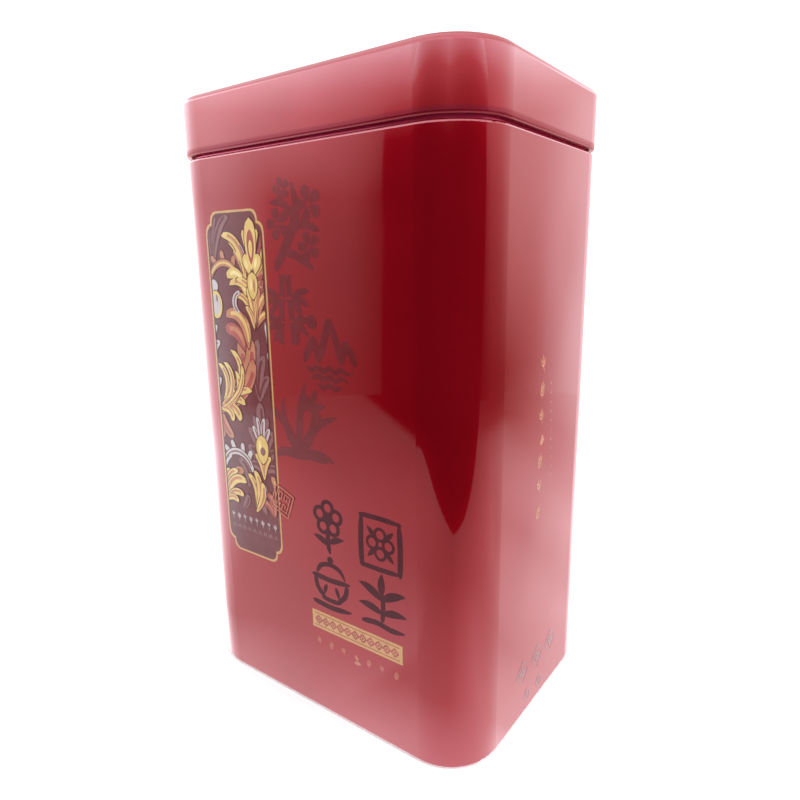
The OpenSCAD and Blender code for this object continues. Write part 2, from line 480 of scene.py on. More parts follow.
def ribbon(line, half_widths, reach=0.0, closed=False):
    """Pairs of edge places of a band along a line. Open ends are made longer by reach."""
    line = [Vector(place) for place in line]
    count = len(line)
    pairs = []
    for i, (place, half) in enumerate(zip(line, half_widths)):
        before = line[(i - 1) % count] if closed else line[max(i - 1, 0)]
        after = line[(i + 1) % count] if closed else line[min(i + 1, count - 1)]
        along = (after - before).normalized()
        across = Vector((-along.y, along.x)) * max(half, 0.04)
        if not closed and i in (0, count - 1):
            place = place + along * (reach if i else -reach)
        pairs.append((tuple(place + across), tuple(place - across)))
    return pairs


class Pen:
    """Draws with one ink, in its own turned frame on a sheet. Its y axis is ahead.

    A higher level lies over a lower one. The edge is how far the dark outline reaches past each
    stroke, and the cut is a function that trims strips, or None.
    """

    def __init__(self, sheet, ink_name, level, edge=0.0, cut=None):
        self.sheet = sheet
        self.ink = ink_name
        self.level = level
        self.edge = edge
        self.cut = cut
        self.spot = (0.0, 0.0)
        self.turn = 0.0

    def copy(self):
        other = Pen(self.sheet, self.ink, self.level, self.edge, self.cut)
        other.spot, other.turn = self.spot, self.turn
        return other

    def at(self, x, y, turn=0.0):
        """The same pen moved to (x, y) and turned to the left by turn, in radians."""
        other = self.copy()
        other.spot = self.place(x, y)
        other.turn = self.turn + turn
        return other

    def using(self, ink_name, up=0, edge=0.0):
        """The same pen with another ink, laid so many levels higher."""
        other = self.copy()
        other.ink, other.level, other.edge = ink_name, self.level + up, edge
        return other

    def place(self, x, y):
        """Where (x, y) in the pen's frame is on the sheet."""
        cosine, sine = math.cos(self.turn), math.sin(self.turn)
        return (self.spot[0] + x * cosine - y * sine, self.spot[1] + x * sine + y * cosine)

    def lay(self, ink_name, level, strip, closed):
        """Lays a strip on the sheet, or only those runs of it that the cut keeps."""
        for run in [strip] if self.cut is None else self.cut(strip):
            self.sheet.lay(ink_name, level, run, closed and len(run) == len(strip))

    def stroke(self, path, widths, closed=False):
        """A band along a path, with a width at each place, over its dark outline if it has one."""
        line = [self.place(*place) for place in path]
        half = [width / 2 for width in widths]
        if self.edge > 0:
            wider = [h + self.edge for h in half]
            self.lay("outline", self.level - 1, ribbon(line, wider, self.edge, closed), closed)
        self.lay(self.ink, self.level, ribbon(line, half, 0.0, closed), closed)

    def line(self, points, width):
        """A brush line through points, a little thinner towards its ends."""
        ends = len(points) - 1
        widths = [width * (0.75 + 0.25 * math.sin(math.pi * i / ends)) for i in range(ends + 1)]
        self.stroke(points, widths)

    def brush(self, points, width):
        """A brush stroke along a smooth curve through points, narrow where the brush lands."""
        path = smooth(points, 5)
        ends = len(path) - 1
        shares = [i / ends for i in range(ends + 1)]
        self.stroke(path, [width * min(1.0, 0.45 + 4 * t, 0.25 + 3 * (1 - t)) for t in shares])

    def leaf(self, length, width, bend=0.0, rise=0.7, fall=0.9, steps=12):
        """A pointed leaf straight ahead, widest where rise and fall balance."""
        most = (rise / (rise + fall)) ** rise * (fall / (rise + fall)) ** fall
        shares = [i / steps for i in range(steps + 1)]
        widths = [width * t**rise * (1 - t) ** fall / most for t in shares]
        self.stroke(sweep(length, bend, steps), widths)

    def ring(self, radius, width):
        """A round line."""
        steps = 18
        turns = [2 * math.pi * i / steps for i in range(steps)]
        path = [(radius * math.cos(t), radius * math.sin(t)) for t in turns]
        self.stroke(path, [width] * steps, closed=True)

    def disc(self, radius, squash=1.0):
        """A filled spot, round unless squash is not 1."""
        steps = 12
        turns = [math.pi * (i + 0.12) / (steps + 0.24) for i in range(steps + 1)]
        path = [(0.0, -radius * squash * math.cos(t)) for t in turns]
        self.stroke(path, [2 * radius * math.sin(t) for t in turns])


def smooth(points, steps):
    """A curve through points, with so many steps from each to the next."""
    ends = [points[0], *points, points[-1]]
    path = []
    for a, b, c, d in zip(ends, ends[1:], ends[2:], ends[3:]):
        for i in range(steps):
            t = i / steps
            weights = (
                (-t + 2 * t * t - t**3) / 2, (2 - 5 * t * t + 3 * t**3) / 2,
                (t + 4 * t * t - 3 * t**3) / 2, (t**3 - t * t) / 2,
            )
            path.append(tuple(
                sum(w * place[axis] for w, place in zip(weights, (a, b, c, d))) for axis in (0, 1)
            ))
    return [*path, points[-1]]


def sweep(length, bend, steps, power=1.0):
    """A path that sets off ahead and turns to the right by bend, later if power is over 1."""
    path = [(0.0, 0.0)]
    for i in range(steps):
        heading = bend * ((i + 0.5) / steps) ** power
        x, y = path[-1]
        path.append((x + length / steps * math.sin(heading), y + length / steps * math.cos(heading)))
    return path


def aimed(pen, start, end, bend, steps, power=1.0):
    """A pen at start, and in its frame a path that bends by bend on its way to end."""
    end_x, end_y = sweep(1.0, bend, steps, power)[-1]
    reach_x, reach_y = end[0] - start[0], end[1] - start[1]
    length = math.hypot(reach_x, reach_y) / math.hypot(end_x, end_y)
    turn = math.atan2(end_x, end_y) - math.atan2(reach_x, reach_y)
    return pen.at(*start, turn), sweep(length, bend, steps, power)


def lobe(pen, start, tip, width, curl, tone=None):
    """A leaf from start to a round tip, curled to the right if curl is over 0, with a vein."""
    steps = 16
    placed, path = aimed(pen, start, tip, curl, steps, 2.0)
    shares = [i / steps for i in range(steps + 1)]
    widths = [width * 1.66 * t**0.62 * (1 - t) ** 0.36 for t in shares]
    placed.stroke(path, widths)
    if tone is not None:
        side = -0.16 if curl > 0 else 0.16
        vein = [(x + side * w, y) for (x, y), w in zip(path, widths)]
        placed.using(tone, 1).stroke(vein[2:-2], [0.36 * w for w in widths[2:-2]])


def spray(pen, start, tone, fingers):
    """Leaves from one place, each a little higher than the one before."""
    for rise, (x, y, width, curl) in enumerate(fingers):
        lobe(pen.using(pen.ink, rise, pen.edge), start, (x, y), width, curl, tone)


def arch(pen, start, end, width, bend, buds, tone):
    """A curved stem from start to end with small leaves along its outside."""
    steps = 20
    placed, path = aimed(pen, start, end, bend, steps)
    outside = 1 if bend > 0 else -1
    for k in range(buds):
        share = (k + 0.9) / (buds + 0.6)
        bud = placed.at(*path[int(steps * share)], outside * 0.25 - bend * share)
        bud.leaf(width * 2.3, width * 0.85, -outside * 1.3, 0.8, 0.4)
    band = placed.using(placed.ink, 1, placed.edge)
    swell = [math.sin(math.pi * i / steps) for i in range(steps + 1)]
    band.stroke(path, [width * (0.55 + 0.45 * share) for share in swell])
    placed.using(tone, 2).stroke(path[2:-2], [width * 0.3] * (steps - 3))


def fan(pen, count, spread, length, width, bend=0.5, droop=0.25):
    """Leaves side by side, the middle one longest."""
    for i in range(count):
        share = 2 * i / (count - 1) - 1
        pen.at(0, 0, -spread * share).leaf(length * (1 - droop * abs(share)), width, bend * share)


def blossom(pen, radius, petals):
    """Petals about a round middle."""
    for i in range(petals):
        pen.at(0, 0, 2 * math.pi * i / petals).leaf(radius, radius * 0.85, 0.0, 0.9, 0.4)
    pen.using(pen.ink, 2).disc(radius * 0.24)


def tea_sprig(pen, size, pairs):
    """A bud and pairs of slim leaves on a stem, one more pair than pairs, about as high as size."""
    pen.line([(0.04 * size, -0.5 * size), (0, -0.2 * size), (0, 0.1 * size)], 0.06 * size)
    pen.at(0, 0.05 * size, 0.12).leaf(0.45 * size, 0.11 * size, 0.3)
    for i in range(pairs + 1):
        low = (0.02 - 0.2 * i) * size
        for side in (-1, 1):
            pen.at(0, low, side * -0.95).leaf(0.40 * size, 0.10 * size, -side * 0.5)


# ------------ the cartouche
CARTOUCHE_S = -24.5
CARTOUCHE_V = 95.9
CARTOUCHE_HALF_HEIGHT = 52.3
CARTOUCHE_HALF_WIDTHS = (7.4, 10.0, 12.4)
CORNER_STEPS = (2.6, 3.3, 6.2)
BAND_TOP = 58.8
FRAME_LINE = 0.62


def cartouche_half_width(v, inset):
    """Half the cartouche's width at a height. Its corners are stepped lobes."""
    narrow, middle, wide = CARTOUCHE_HALF_WIDTHS
    end_lobe, ledge, side_lobe = CORNER_STEPS
    from_end = CARTOUCHE_HALF_HEIGHT - inset - abs(v - CARTOUCHE_V)
    if from_end >= side_lobe:
        return wide - inset
    if from_end >= ledge:
        share = (from_end - ledge) / (side_lobe - ledge)
        return middle - inset + (wide - middle) * math.sqrt(max(0.0, 1 - (1 - share) ** 2))
    if from_end >= end_lobe:
        return middle - inset
    share = from_end / end_lobe
    bulge = middle - narrow - inset * 0.4
    return narrow - inset * 0.6 + bulge * math.sqrt(max(0.0, 1 - (1 - share) ** 2))


def cartouche_field(inset):
    """The cartouche's outline as a strip, shrunk by inset."""
    low = CARTOUCHE_V - CARTOUCHE_HALF_HEIGHT + inset
    high = CARTOUCHE_V + CARTOUCHE_HALF_HEIGHT - inset
    near_ends = [0.0, 0.1, 0.5, 1.2, 2.0, 2.6, 3.3, 3.4, 3.9, 4.8, 6.2]
    steps = 5
    heights = [low + near for near in near_ends] + [high - near for near in near_ends]
    heights += [low + (high - low) * i / steps for i in range(steps + 1)]
    strip = []
    for v in sorted({round(height, 3) for height in heights if low <= height <= high}):
        half = cartouche_half_width(v, inset)
        strip.append(((CARTOUCHE_S - half, v), (CARTOUCHE_S + half, v)))
    return strip


def kept_in_cartouche(strip):
    """Cuts a strip at the edge of the pictured field, and drops what is outside."""
    runs, run = [], []
    top = CARTOUCHE_V + CARTOUCHE_HALF_HEIGHT - 2 * FRAME_LINE
    for pair in strip:
        kept = []
        for s, v in pair:
            kept_v = min(max(v, BAND_TOP), top)
            half = cartouche_half_width(kept_v, 2 * FRAME_LINE)
            kept.append((min(max(s, CARTOUCHE_S - half), CARTOUCHE_S + half), kept_v))
        wide = math.dist(*kept) > 0.05
        moved = not run or math.dist(kept[0], run[-1][0]) + math.dist(kept[1], run[-1][1]) >= 0.02
        if wide and moved:
            run.append(tuple(kept))
        elif not wide and run:
            runs.append(run)
            run = []
    runs.append(run)
    return [run for run in runs if len(run) > 1]


def upper_flower(pen):
    """A tall palmette: crown, bulbs, ruffle, heart and a skirt of two leaves."""
    gold = pen.using("gold", 5, 0.3)
    spray(gold, (7.2, 129.5), "terracotta", ((12.5, 134.6, 2.2, -0.9), (12.3, 139.4, 2.6, -0.8)))
    lobe(pen.using("brick", 4, 0.3), (8.0, 133.0), (11.9, 142.6), 2.0, -0.6)
    spray(gold.using("silver", 0, 0.3), (4.6, 131.0), "mauve", ((1.2, 139.4, 1.6, -0.7),))
    for side in (-1, 1):
        lobe(gold.using("gold", 2, 0.3), (6.7, 131.0), (6.7 + side * 3.0, 142.6), 3.0, side * 0.5,
             "pale_gold")
    middle = gold.using("gold", 4, 0.3).at(6.8, 131.6)
    middle.leaf(14.2, 4.6, 0.0, 0.8, 0.5)
    middle.using("brick", 1).at(0, 1.6).leaf(9.6, 2.9, 0.0, 0.8, 0.6)
    middle.using("gold", 2, 0.15).at(0, 3.4).leaf(5.0, 1.6, 0.0, 0.8, 0.6)
    fan(pen.using("brick", 5, 0.3).at(6.9, 126.2), 11, 1.5, 6.8, 1.7, 0.8, 0.1)
    fan(pen.using("terracotta", 7, 0.2).at(6.9, 126.4), 7, 1.1, 4.6, 1.2, 0.6, 0.1)
    for side in (-1, 1):
        bulb = pen.using("gold", 9, 0.3).at(6.9 + side * 1.0, 130.4, -side * 0.3)
        bulb.leaf(6.0, 3.2, 0.0, 1.0, 0.5)
        bulb.using("pale_gold", 1).at(-0.4, 1.8).leaf(3.2, 1.0)
    spray(pen.using("terracotta", 6, 0.3), (6.6, 115.4), "gold",
          ((12.6, 120.0, 2.4, 1.0), (12.5, 125.6, 3.0, 0.8), (9.2, 127.0, 3.0, 0.4)))
    spray(pen.using("gold", 6, 0.3), (6.4, 115.4), "terracotta",
          ((-2.4, 124.2, 2.1, -2.0), (-3.4, 127.6, 2.5, -2.3), (-0.2, 129.2, 2.3, -1.9),
           (4.2, 127.0, 2.6, -0.6), (3.2, 121.6, 1.8, -0.9)))
    heart = pen.using("gold", 11, 0.3).at(6.7, 123.6)
    heart.leaf(7.6, 4.1, 0.0, 0.7, 0.5)
    heart.using("pale_gold", 1).at(-0.6, 2.4).leaf(3.8, 1.1)
    heart.using("terracotta", 1).at(0.7, 2.0).leaf(3.8, 0.9)


def upper_scrolls(pen):
    """Gold, silver and clay curls to the left of the palmette, over a few dull leaves."""
    spray(pen.using("mauve", 1, 0.3), (-9.8, 133.5), "ground",
          ((-11.4, 143.0, 2.2, 0.7), (-7.6, 147.0, 2.6, 0.8), (-1.4, 147.4, 3.0, 1.0)))
    gold = pen.using("gold", 5, 0.3)
    lobe(pen.using("terracotta", 5, 0.3), (4.0, 129.0), (-0.6, 137.4), 2.4, -0.6, "gold")
    spray(gold, (3.8, 128.5), "terracotta", ((-2.6, 140.0, 2.5, -1.1), (-5.4, 141.4, 2.8, -1.7)))
    arch(pen.using("terracotta", 5, 0.3), (0.6, 129.6), (-11.6, 129.4), 1.9, -2.5, 4, "gold")
    spray(gold, (3.6, 124.6), "pale_gold", ((-2.6, 132.6, 2.4, -1.1), (-4.0, 129.6, 3.6, -2.4)))
    arch(pen.using("silver", 6, 0.3), (0.2, 119.8), (0.9, 125.6), 1.8, 2.6, 0, "mauve")
    pen.using("silver", 4, 0.3).at(-10.6, 127.2).disc(1.9)
    egg = gold.at(-10.0, 121.8)
    egg.disc(2.7, 1.5)
    egg.using("silver", 1).disc(2.0, 1.5)
    egg.using("mauve", 2).at(0.5, 0.8).leaf(2.2, 0.7)
    spray(pen.using("silver", 3, 0.3), (-12.4, 106.0), "mauve",
          ((-10.4, 115.6, 2.4, 1.2), (-9.6, 110.6, 2.2, 1.4)))
    lobe(pen.using("brick", 4, 0.3), (1.6, 108.6), (-6.4, 114.0), 4.6, -2.0, "terracotta")
    spray(pen.using("terracotta", 6, 0.3), (3.4, 109.4), "gold",
          ((0.2, 119.4, 2.6, -1.3), (-5.8, 118.4, 3.8, -2.3)))


def great_leaf(pen):
    """The big acanthus that sweeps up the middle, with gold fingers on its hollow side."""
    for x, y, width in ((7.4, 112.5, 3.6), (9.6, 108.0, 3.4), (11.0, 102.0, 3.0)):
        lobe(pen.using("mauve", 1, 0.3), (6.4, 94.0), (x, y), width, 0.5, "ground")
    spray(pen.using("silver", 4, 0.3), (12.6, 93.0), "mauve",
          ((11.0, 109.0, 2.4, -0.7), (10.8, 117.6, 3.2, -0.5)))
    clay = pen.using("terracotta", 3, 0.35)
    spray(clay, (-11.8, 88.6), "brick",
          ((-1.4, 111.4, 4.4, -1.4), (4.0, 113.0, 5.2, -1.1), (4.8, 106.4, 5.0, -0.9)))
    gold = pen.using("gold", 6, 0.3)
    spray(gold, (-11.4, 89.6), "terracotta",
          ((-11.2, 104.0, 2.1, -1.9), (-8.6, 104.6, 2.2, -2.1), (-5.0, 108.6, 2.4, -2.3),
           (-3.4, 102.4, 2.2, -1.9), (-0.4, 104.4, 2.0, -1.3)))
    spray(gold, (-11.8, 89.8), "terracotta",
          ((3.4, 97.0, 2.6, 0.8), (0.0, 92.4, 2.8, 1.5), (-3.0, 87.0, 3.2, 2.2),
           (-6.6, 86.6, 2.6, 2.4)))
    lobe(pen.using("silver", 7, 0.3), (-12.6, 94.0), (-10.4, 99.6), 2.2, 0.9, "mauve")


def middle_cluster(pen):
    """Clay leaves that hang down at the left of the middle."""
    spray(pen.using("terracotta", 3, 0.3), (-11.8, 90.0), "brick",
          ((-11.0, 80.6, 2.6, -0.6), (-6.4, 81.4, 3.4, -0.9)))


def lower_flower(pen):
    """An upright dull palmette with silver tips, a gold heart and two gold arms."""
    dull = pen.using("mauve", 1, 0.3)
    for side in (-1, 1):
        spray(dull, (6.3, 72.0), "ground",
              ((6.3 + side * 6.0, 73.4, 2.8, side * 1.6), (6.3 + side * 6.6, 79.6, 3.2, side * 1.2),
               (6.3 + side * 5.8, 85.6, 3.2, side * 0.8), (6.3 + side * 3.2, 89.6, 3.2, side * 0.5)))
    lobe(dull.using("mauve", 4, 0.3), (6.3, 80.0), (6.4, 94.0), 4.0, 0.0, "ground")
    for side in (-1, 1):
        spray(pen.using("silver", 6, 0.25), (6.3 + side * 0.8, 80.0), "mauve",
              ((6.3 + side * 3.6, 86.4, 1.9, side * 0.3), (6.3 + side * 1.6, 89.4, 1.9, side * 0.4)))
        arm = pen.using("gold", 7, 0.3)
        lobe(arm, (6.4, 70.0), (6.4 + side * 3.4, 77.6), 2.1, side * 1.0, "terracotta")
    heart = pen.using("gold", 9, 0.3).at(6.3, 75.0)
    heart.leaf(9.0, 5.2, 0.0, 0.7, 0.55)
    heart.using("pale_gold", 1).at(-1.0, 3.2).leaf(4.2, 1.1)
    heart.using("mauve", 2, 0.2).at(0.2, 4.0).disc(0.9, 1.25)


def lower_leaves(pen):
    """The silver arch and the gold and brick leaves along the foot of the field."""
    arch(pen.using("silver", 4, 0.3), (1.4, 71.6), (-11.8, 72.4), 2.0, -2.6, 5, "mauve")
    lobe(pen.using("silver", 4, 0.3), (-12.4, 68.6), (-8.2, 75.2), 2.2, 1.3, "mauve")
    lobe(pen.using("mauve", 2, 0.3), (-1.0, 66.0), (-5.0, 74.6), 3.4, -1.6, "ground")
    lobe(pen.using("terracotta", 4, 0.3), (-10.0, 62.0), (-2.8, 71.0), 3.4, 1.6, "brick")
    spray(pen.using("gold", 6, 0.3), (-12.2, 59.6), "terracotta",
          ((-9.6, 70.6, 2.2, 1.2), (-5.6, 70.6, 2.6, 1.5), (-2.0, 67.4, 3.2, 1.9),
           (-3.8, 62.6, 2.5, 1.7), (-6.6, 60.0, 2.2, 1.9)))
    spray(pen.using("gold", 7, 0.3), (1.8, 58.6), "terracotta",
          ((-1.0, 70.6, 2.3, -1.4), (2.0, 72.2, 2.8, -1.2), (5.2, 69.0, 2.6, -1.0)))
    spray(pen.using("brick", 5, 0.3), (10.0, 58.4), "terracotta",
          ((12.6, 66.4, 2.8, 0.9), (4.6, 62.6, 2.6, -1.5), (7.2, 66.0, 2.6, -1.2)))
    lobe(pen.using("terracotta", 8, 0.3), (10.4, 61.0), (9.4, 71.6), 3.0, -1.4, "gold")
    lobe(pen.using("silver", 6, 0.25), (6.5, 64.0), (6.3, 68.4), 1.7, 0.0)
    lobe(pen.using("mauve", 5, 0.3), (-4.4, 58.4), (-1.8, 63.6), 2.8, -0.8, "ground")
    lobe(pen.using("mauve", 5, 0.3), (6.4, 58.6), (3.6, 61.8), 2.2, -1.0)


def print_cartouche(sheet):
    """The upright panel with its gold line, its ornament and the plain band below."""
    sheet.lay("frame_gold", 0, cartouche_field(0.0))
    sheet.lay("ground", 1, cartouche_field(FRAME_LINE))
    pen = Pen(sheet, "mauve", 3, 0.0, kept_in_cartouche).at(CARTOUCHE_S, 0.0)
    great_leaf(pen)
    upper_scrolls(pen)
    middle_cluster(pen)
    lower_flower(pen)
    lower_leaves(pen)
    upper_flower(pen)
    band = Pen(sheet, "silver", 2).at(CARTOUCHE_S, 0.0)
    for i in range(8):
        tea_sprig(band.at(-9.6 + 2.75 * i, 55.2), 2.7, i % 2)
    for i in range(18):
        band.using("mauve").at(-10.0 + 1.2 * i, 51.2, 0.5 * (i % 2) - 0.25).leaf(1.6, 0.6)


# ------------ other printing
def plum_branch(pen):
    """A branch of blossom, for a box 18 mm wide and 22 mm high."""
    pen.brush([(-7.8, -10.8), (-4.4, -6.0), (-1.2, -1.0), (1.0, 5.0), (-0.4, 11.2)], 2.9)
    pen.brush([(-1.8, -1.8), (2.6, 0.8), (8.8, -1.0)], 2.3)
    pen.brush([(-4.4, -6.0), (0.8, -7.2), (6.4, -10.6)], 2.2)
    pen.brush([(-0.2, 2.6), (-3.6, 6.2), (-8.4, 6.6)], 2.0)
    for x, y, radius in ((5.4, 5.6, 4.2), (-6.0, 1.2, 3.8), (5.0, -4.8, 3.5), (-4.0, 9.8, 2.8)):
        for i in range(5):
            petal = pen.at(x, y, 0.3 + 2 * math.pi * i / 5).at(0, 0.12 * radius)
            petal.leaf(radius, radius * 0.72, 0.0, 0.9, 0.4)


def bamboo(pen):
    """Two stalks with leaves, for a box 15 mm wide and 19 mm high."""
    for x, lean in ((-2.8, 0.10), (2.4, -0.08)):
        for k in range(3):
            joint = pen.at(x + lean * 6 * k, -9.6 + 6.4 * k, -lean)
            joint.stroke([(0, 0), (0.1, 0.6), (0.1, 2.9), (0, 5.2), (0, 5.8)], [2.7, 2.1, 1.9, 2.1, 2.7])
    for x, y, turn in ((-2.6, 3.2, 1.9), (-2.4, -3.2, 2.1), (2.4, 3.4, -1.9), (2.6, -2.8, -2.2)):
        for spread in (-0.6, 0.05, 0.7):
            pen.at(x, y, turn + spread).leaf(7.0, 2.0, 0.25)


def mountains(pen):
    """Three peaks over water, for a box 18 mm square."""
    for x, top, west, east in ((-5.4, 3.4, 3.6, 1.9), (0.2, 8.6, 3.9, 4.2), (5.7, 3.0, 1.6, 3.4)):
        pen.brush([(x + 0.5, top), (x - west * 0.35, top * 0.55 - 1.2), (x - west, -3.4)], 2.3)
        pen.brush([(x - 0.2, top - 0.4), (x + east * 0.6, top * 0.5 - 1.6), (x + east, -3.4)], 2.1)
    for row in range(3):
        crests = range(row - 4, 5 - row)
        pen.brush([(2.1 * i, -5.0 - 2.2 * row + 0.45 * (-1) ** i) for i in crests], 1.5)
    pen.at(-5.6, 7.4).disc(1.9)


def orchid(pen):
    """Long blades and a flower, for a box 20 mm wide and 22 mm high."""
    for turn, length, bend in ((0.9, 18, 1.1), (0.45, 21, -0.7), (0.1, 22, 0.5), (-0.35, 20, 1.0),
                               (-0.8, 17, -0.9), (-1.2, 13, 0.8), (1.35, 12, -0.9)):
        pen.at(-0.6, -10.5, turn).leaf(length, 2.5, bend, 0.5, 0.7, 16)
    fan(pen.at(3.8, 3.0, -0.4), 5, 1.5, 6.8, 2.3)
    pen.brush([(-9.2, -10.0), (-3.0, -10.9), (4.0, -10.3), (9.2, -11.2)], 2.3)


def plum_emblem(pen):
    """A five-petalled flower on a stem, 12 mm wide and 15 mm high."""
    for i in range(5):
        petal = pen.at(0, 2.4, 2 * math.pi * i / 5)
        petal.at(0, 3.2).ring(1.9, 1.15)
    pen.at(0, 2.4).disc(0.95)
    pen.brush([(0.1, -0.2), (-0.3, -4.4), (0.4, -8.2)], 1.6)
    pen.at(0, -5.8, 0.95).leaf(6.2, 1.9, -0.5)
    pen.at(0, -5.0, -0.95).leaf(6.2, 1.9, 0.5)


def fret_emblem(pen):
    """A square frame with a quatrefoil, 14 mm wide and 16 mm high."""
    for side in (-1, 1):
        pen.brush([(side * 6.4, -7.9), (side * 6.6, 0.0), (side * 6.2, 7.7)], 1.7)
        pen.brush([(-7.1, side * 7.2), (0.0, side * 7.3), (7.1, side * 7.0)], 1.4)
    for i in range(4):
        pen.at(0, 0, math.pi * i / 2).at(0, 2.7).ring(1.7, 0.85)
        pen.at(0, 0, math.pi * i / 2 + math.pi / 4).at(0, 2.2).leaf(4.0, 1.5)


def cup_emblem(pen):
    """A lidded cup on its saucer, 15 mm wide and 15 mm high."""
    pen.brush([(-5.4, 2.4), (-3.6, 5.0), (0.0, 6.0), (3.6, 5.0), (5.4, 2.4)], 1.4)
    pen.at(0, 7.4).disc(1.1)
    pen.brush([(-7.2, 1.5), (0, 1.1), (7.2, 1.7)], 1.6)
    for side in (-1, 1):
        pen.brush([(side * 6.0, 1.0), (side * 5.2, -2.4), (side * 2.2, -5.2)], 1.6)
        pen.at(side * 1.6, -0.6, -side * 2.6).leaf(3.6, 1.4, side * 0.4)
    pen.brush([(-3.8, -5.0), (0, -5.4), (3.8, -5.0)], 1.4)
    pen.brush([(-7.4, -7.0), (0, -7.6), (7.4, -6.8)], 1.6)


def leaf_emblem(pen):
    """A sprig of tea over a ground line, 16 mm square."""
    pen.brush([(0, -5.8), (0.4, -1.0), (0.0, 3.4)], 1.5)
    pen.at(0, 2.0, 0.1).leaf(6.6, 2.4, 0.25)
    for side in (-1, 1):
        pen.at(0, 0.6, -side * 0.85).leaf(8.8, 2.5, side * 0.6)
        pen.at(0, -3.4, -side * 1.1).leaf(8.4, 2.2, side * 0.6)
    pen.brush([(-7.2, -7.3), (-2.0, -6.6), (3.0, -7.2), (7.4, -6.8)], 1.6)


def print_emblems(sheet, shift):
    """Four dark emblems, the gold bar under them and a row of small sprigs."""
    pen = Pen(sheet, "emblem", 0).at(shift, 0.0)
    plum_emblem(pen.at(7.0, 61.3))
    fret_emblem(pen.at(25.5, 61.0))
    cup_emblem(pen.at(7.3, 43.7))
    leaf_emblem(pen.at(25.7, 44.0))
    gold = Pen(sheet, "frame_gold", 0).at(shift, 0.0)
    gold.stroke([(-0.7, 30.55), (15.8, 30.55), (32.4, 30.55)], [5.7] * 3)
    dark = gold.using("brick", 1)
    for v in (28.6, 32.5):
        dark.stroke([(0.2, v), (15.8, v), (31.5, v)], [0.28] * 3)
    for i in range(11):
        lozenge = dark.at(1.8 + 2.8 * i, 30.55)
        for turn in range(4):
            side = lozenge.at(0, 0, math.pi / 2 * turn)
            side.stroke([(1.25, -0.1), (0.65, 0.6), (-0.1, 1.25)], [0.55] * 3)
        lozenge.disc(0.42)
    marks = gold.using("stamp", 0)
    for i, s in enumerate((1.7, 6.4, 11.2, 20.6, 25.2, 30.2)):
        tea_sprig(marks.at(s, 23.6, 0.25 * (-1) ** i), 2.9, 1 + i % 2)
    marks.at(15.2, 21.4, -1.2).leaf(2.6, 1.3, 0.4)
    marks.at(16.6, 22.6, 0.5).leaf(1.9, 1.0, -0.4)


def print_seal(sheet):
    """A small square seal with a meander, set askew over the cartouche's edge."""
    pen = Pen(sheet, "stamp", 19).at(-10.9, 64.9, -0.38)
    for i in range(4):
        pen.at(0, 0, math.pi / 2 * i).line([(-3.9, 3.8), (0.0, 3.85), (3.9, 3.8)], 0.36)
    for side in (-1, 1):
        key = pen.at(0, 0, math.pi * (side < 0))
        key.line([(2.7, -0.4), (2.7, 2.7), (0.5, 2.7), (0.5, 0.9), (1.6, 0.9), (1.6, 1.8)], 0.36)
        key.line([(-2.7, 0.5), (-2.7, 2.7), (-0.6, 2.7), (-0.6, 0.6), (-1.7, 0.6), (-1.7, 1.7)], 0.36)


def print_washes(sheet):
    """Four brush drawings in a thin darker wash over the red."""
    pen = Pen(sheet, "wash", -1)
    plum_branch(pen.at(-0.6, 142.5))
    bamboo(pen.at(-5.0, 121.6))
    mountains(pen.at(9.8, 111.0))
    orchid(pen.at(-1.6, 91.3))


def print_side(sheet):
    """A column of small clay-coloured sprigs with a line of dots, and faint marks near the foot."""
    pen = Pen(sheet, "terracotta", 0)
    for i, v in enumerate((106.2, 99.1, 91.4, 78.4, 71.1, 63.2)):
        tea_sprig(pen.at(-1.9, v, 0.2 * (-1) ** i), 5.2, 1 + i % 2)
    pen.at(-2.4, 83.6, -1.1).leaf(3.0, 1.8, 0.4)
    pen.at(-0.9, 85.2).disc(0.7)
    for i in range(11):
        pen.at(4.2 + 0.2 * i, 99.5 - 2.75 * i, 0.7).leaf(1.1, 0.45)
    faint = Pen(sheet, "faint", 0)
    for s in (-8.6, 1.4, 11.2):
        for turn in range(4):
            side = faint.at(s, 15.0, math.pi / 2 * turn)
            side.stroke([(3.9, -0.2), (2.0, 2.1), (-0.2, 3.9)], [0.42] * 3)
        blossom(faint.at(s, 15.0), 1.9, 4)
    for s, v in ((-4.9, 5.6), (3.6, 5.2)):
        faint.at(s, v).ring(1.7, 0.6)
        faint.at(s, v).disc(0.7)


def print_tin():
    """Prints both broad faces and both narrow ones. The seam is in the back, so that is shifted."""
    inks = {name: ink(name, *look[1:]) for name, look in INKS.items()}
    for face, name, shift in ((front, "front", 0.0), (back, "back", 4.0)):
        sheet = Sheet(face, name)
        print_cartouche(sheet)
        print_seal(sheet)
        print_emblems(sheet, shift)
        if face is front:
            print_washes(sheet)
        sheet.make(inks)
    for face, name in ((right, "right"), (left, "left")):
        sheet = Sheet(face, name)
        print_side(sheet)
        sheet.make(inks)


# ------------ stage
TENT_RADIUS = 480.0
TENT_TOP = 700.0
TENT_LIGHT = 10.0
WARM_TINT = (1.50, 0.97, 0.93)
COOL_TINT = (0.66, 0.97, 1.07)
